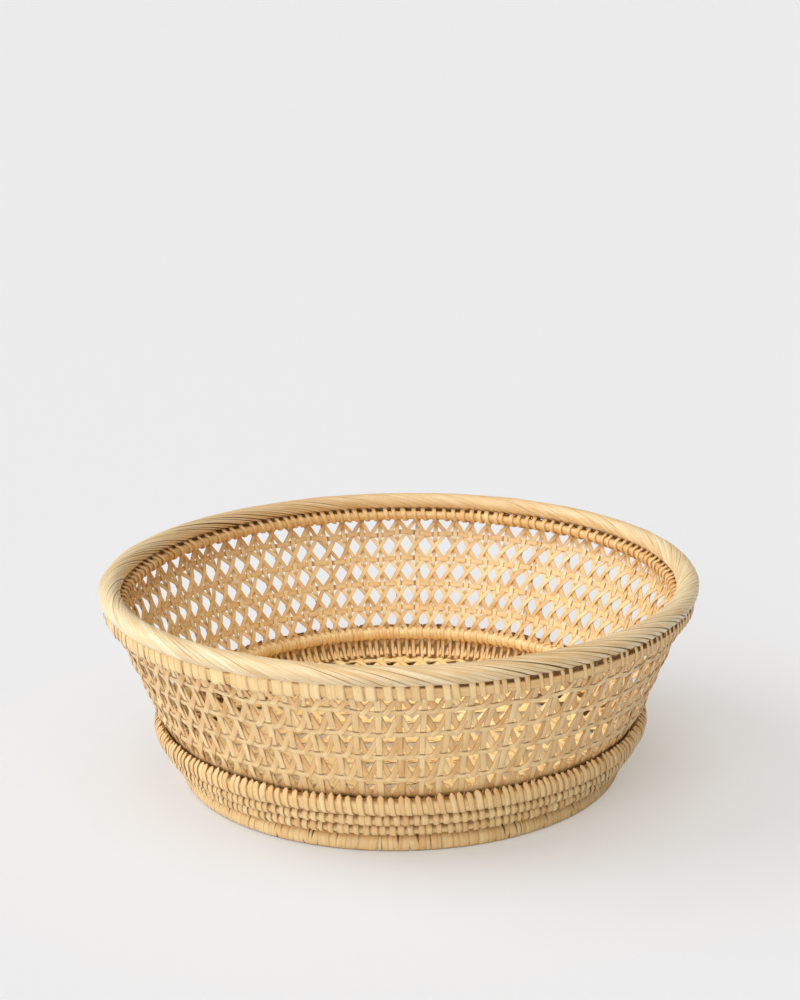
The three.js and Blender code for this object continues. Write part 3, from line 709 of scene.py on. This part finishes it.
def foot_wrap():
    """Loops of strip round the foot's oval, side by side, uneven in width and flat where they stand.

    A few have a split beside them. They are narrowest round the turn FOOT_NARROWEST.
    """
    middle = (np.arange(FOOT_LOOPS) + 0.5) * FULL_TURN / FOOT_LOOPS
    narrow = np.exp(-(((middle - FOOT_NARROWEST) / 0.6) ** 2))
    width = (1 - 0.35 * narrow) * np.exp(chance.normal(0, 0.4, FOOT_LOOPS))
    split = np.where(chance.random(FOOT_LOOPS) < 0.12, 0.16, 0.0)
    ends = np.cumsum(width + split)
    scale = FULL_TURN / ends[-1]
    centre = ((ends - split - width / 2) * scale)[:, None]
    width = (width * scale * FOOT_RADIUS * FOOT_LAP)[:, None]
    angle = -whole_round(22)
    proud = chance.normal(0, 0.04, centre.shape)
    radius = FOOT_RADIUS + (FOOT_HALF_WIDTH - FOOT_STRIP_THICKNESS / 2 + proud) * np.cos(angle)
    height = FOOT_MIDDLE + (FOOT_HALF_HEIGHT - FOOT_STRIP_THICKNESS / 2 + proud) * np.sin(angle)
    height = np.maximum(height, FOOT_STRIP_THICKNESS / 2 + OVER_FLOOR)
    turn = centre + chance.normal(0, 0.004, centre.shape) * np.sin(angle)
    facing = place(turn, np.cos(angle), np.sin(angle))
    # Painted contact shadow along the bottom, where the foot meets the floor.
    contact_shadow = np.clip(1.4 - height, 0, 0.7)
    path = place(turn, radius, height)
    roll = chance.normal(0, 0.02, centre.shape)
    lay_cane("foot_wrap_strips", path, facing, width, FOOT_STRIP_THICKNESS, "lashing_cane",
             ["foot_wrap"], FLAT_CANE, True, roll, contact_shadow, variety=0.12)


# Base: the wall's weave laid flat, on a hoop

BASE_ACROSS = 13.2
BASE_ALONG = 15.4
BASE_RADIUS = 127.6
BASE_HEIGHT = 19.0
BASE_STRIP = 4.4
BASE_SLANT = 4.0


def base_weave():
    """Strips of the base end at its round edge. Their lifts come from the same rows as the wall's."""
    # Painted shade all over the base hoop, which lies under the base's edge.
    hoop("base_hoop_pole", 122.5, 13.1, 6.8, 6.8, "core_rattan", ["base_hoop"], painted_shade=0.3)

    def lay(name, start, heading, lift, width, node):
        """Strips through the start points along one heading, cut to the base's circle."""
        heading = np.asarray(heading, float) / np.hypot(*heading)
        nearest = start - (start @ heading)[:, None] * heading
        inside = np.linalg.norm(nearest, axis=1) < BASE_RADIUS - 2.5
        nearest = nearest[inside]
        reach = np.sqrt(BASE_RADIUS**2 - np.sum(nearest**2, 1))[:, None]
        share = np.linspace(-1, 1, 120)[None]
        flat = nearest[:, None] + (share * reach)[..., None] * heading
        height = BASE_HEIGHT + lift(flat[..., 0] / BASE_ACROSS, flat[..., 1] / BASE_ALONG)
        path = np.concatenate([flat, height[..., None]], -1)
        facing = np.broadcast_to([0.0, 0.0, 1.0], path.shape)
        own_width = width * (1 + chance.normal(0, 0.05, (len(path), 1)))
        roll = chance.normal(0, 0.05, (len(path), 1))
        lay_cane(name, path, facing, own_width, STRIP, "base_cane", [node], FLAT_CANE, roll=roll)

    steps = np.arange(-22, 23)
    column = np.stack([steps * BASE_ACROSS, 0 * steps], 1)
    line = np.stack([0 * steps, steps * BASE_ALONG], 1)
    middle = np.stack([(steps + 0.5) * BASE_ACROSS, 0 * steps], 1)
    lay("base_lengthwise_strips", column, (0, 1),
        lambda x, y: 0.43 + 0.07 * np.cos(FULL_TURN * y), BASE_STRIP, "base_lengthwise_cane")
    lay("base_crosswise_strips", line, (1, 0),
        lambda x, y: -0.3 - 0.2 * np.cos(FULL_TURN * x), BASE_STRIP, "base_crosswise_cane")
    lay("base_slants_left", middle, (-BASE_ACROSS, BASE_ALONG),
        lambda x, y: 0.5 - 1.15 * np.cos(FULL_TURN * y), BASE_SLANT, "base_slant_cane_left")
    lay("base_slants_right", middle, (BASE_ACROSS, BASE_ALONG),
        lambda x, y: -0.15 - 1.15 * np.cos(FULL_TURN * y), BASE_SLANT, "base_slant_cane_right")


rim_strips()
wall_weave()
rim_bindings()
shoulder()
band()
foot_wrap()
base_weave()

# The cores show only in deep seams: their darker finish is their own colour and partly painted shade.
for node in ("rim_core_hoop", "foot_core_hoop"):
    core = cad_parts[node]
    core.data.materials.clear()
    core.data.materials.append(finishes["core_rattan"])


# Floor, light and camera

PAPER = linear(235, 235, 235)
FLOOR_REACH = 30
INSIDE_FOOT = (0.118, 0.124)
CAMERA_PLACE = (0.001452, -1.111678, 0.463762)
CAMERA_PITCH = math.radians(90 - 15.1926)
CAMERA_ROLL = -0.014


def paper_finish(name, lit, glowing, under_cane, even):
    """Matt paper. To the camera an even share of it glows, so that shadows on it stay pale and warm.

    Inside the foot the glow has the colour of light that came down through the canes.
    """
    material = bpy.data.materials.new(name)
    material.use_nodes = True
    nodes, links = material.node_tree.nodes, material.node_tree.links
    shader = nodes["Principled BSDF"]
    shader.inputs["Base Color"].default_value = lit
    shader.inputs["Roughness"].default_value = 0.9
    shader.inputs["Specular IOR Level"].default_value = 0.1
    glow = nodes.new("ShaderNodeEmission")
    where = nodes.new("ShaderNodeTexCoord")
    distance = nodes.new("ShaderNodeVectorMath")
    distance.operation = "LENGTH"
    within = nodes.new("ShaderNodeMapRange")
    within.inputs["From Min"].default_value = INSIDE_FOOT[0]
    within.inputs["From Max"].default_value = INSIDE_FOOT[1]
    glow_colour = nodes.new("ShaderNodeMix")
    glow_colour.data_type = "RGBA"
    glow_colour.inputs["A"].default_value = under_cane
    glow_colour.inputs["B"].default_value = glowing
    links.new(where.outputs["Object"], distance.inputs[0])
    links.new(distance.outputs["Value"], within.inputs["Value"])
    links.new(within.outputs["Result"], glow_colour.inputs["Factor"])
    links.new(glow_colour.outputs["Result"], glow.inputs["Color"])
    seen = nodes.new("ShaderNodeLightPath")
    portion = nodes.new("ShaderNodeMath")
    portion.operation = "MULTIPLY"
    portion.inputs[1].default_value = even
    mixed = nodes.new("ShaderNodeMixShader")
    links.new(seen.outputs["Is Camera Ray"], portion.inputs[0])
    links.new(portion.outputs[0], mixed.inputs["Fac"])
    links.new(shader.outputs[0], mixed.inputs[1])
    links.new(glow.outputs[0], mixed.inputs[2])
    links.new(mixed.outputs[0], nodes["Material Output"].inputs["Surface"])
    return material


floor_corners = [(x * FLOOR_REACH, y * FLOOR_REACH, 0) for x, y in ((-1, -1), (1, -1), (1, 1), (-1, 1))]
floor_mesh = bpy.data.meshes.new("floor")
floor_mesh.from_pydata(floor_corners, [], [(0, 1, 2, 3)])
floor_mesh.materials.append(
    paper_finish("floor_paper", linear(228, 236, 247), linear(246, 235, 220), linear(236, 186, 120), 0.42)
)
floor = bpy.data.objects.new("floor", floor_mesh)
bpy.context.collection.objects.link(floor)


def sun(name, strength, angle, azimuth, elevation):
    """A wide soft light from an azimuth, 0 in front and 90 to the right, at an elevation in degrees."""
    lamp = bpy.data.lights.new(name, "SUN")
    lamp.energy = strength
    lamp.color = (0.985, 1.0, 1.03)
    lamp.angle = math.radians(angle)
    holder = bpy.data.objects.new(name, lamp)
    across, up = math.radians(azimuth), math.radians(elevation)
    holder.matrix_world = Matrix.Rotation(across, 4, "Z") @ Matrix.Rotation(math.pi / 2 - up, 4, "X")
    bpy.context.collection.objects.link(holder)


sun("key_softbox", 1.65, 46, -95, 40)
sun("top_softbox", 0.95, 60, 0, 78)
sun("front_fill", 1.6, 60, -25, 14)

bowl_lamp = bpy.data.lights.new("bowl_spot", "SPOT")
bowl_lamp.energy = 8.0
bowl_lamp.color = (1.0, 0.93, 0.82)
bowl_lamp.spot_size = math.radians(15)
bowl_lamp.spot_blend = 0.5
bowl_lamp.shadow_soft_size = 0.06
bowl_spot = bpy.data.objects.new("bowl_spot", bowl_lamp)
bowl_spot.location = (0, 0.05, 0.9)
bpy.context.collection.objects.link(bowl_spot)

world = bpy.data.worlds.new("studio")
bpy.context.scene.world = world
world.use_nodes = True
nodes, links = world.node_tree.nodes, world.node_tree.links
room = nodes["Background"]
room.inputs["Color"].default_value = (1, 0.94, 0.86, 1)
room.inputs["Strength"].default_value = 0.27
seen = nodes.new("ShaderNodeBackground")
seen.inputs["Color"].default_value = PAPER
rays = nodes.new("ShaderNodeLightPath")
choose = nodes.new("ShaderNodeMixShader")
links.new(rays.outputs["Is Camera Ray"], choose.inputs["Fac"])
links.new(room.outputs[0], choose.inputs[1])
links.new(seen.outputs[0], choose.inputs[2])
links.new(choose.outputs[0], nodes["World Output"].inputs["Surface"])

camera_data = bpy.data.cameras.new("photo_camera")
camera_data.sensor_width = 36
camera_data.lens = 71.24
camera_data.clip_end = 100
camera = bpy.data.objects.new("photo_camera", camera_data)
camera.matrix_world = (
    Matrix.Translation(CAMERA_PLACE)
    @ Matrix.Rotation(CAMERA_PITCH, 4, "X")
    @ Matrix.Rotation(CAMERA_ROLL, 4, "Z")
)
bpy.context.collection.objects.link(camera)
bpy.context.scene.camera = camera
bpy.context.scene.view_settings.view_transform = "Standard"
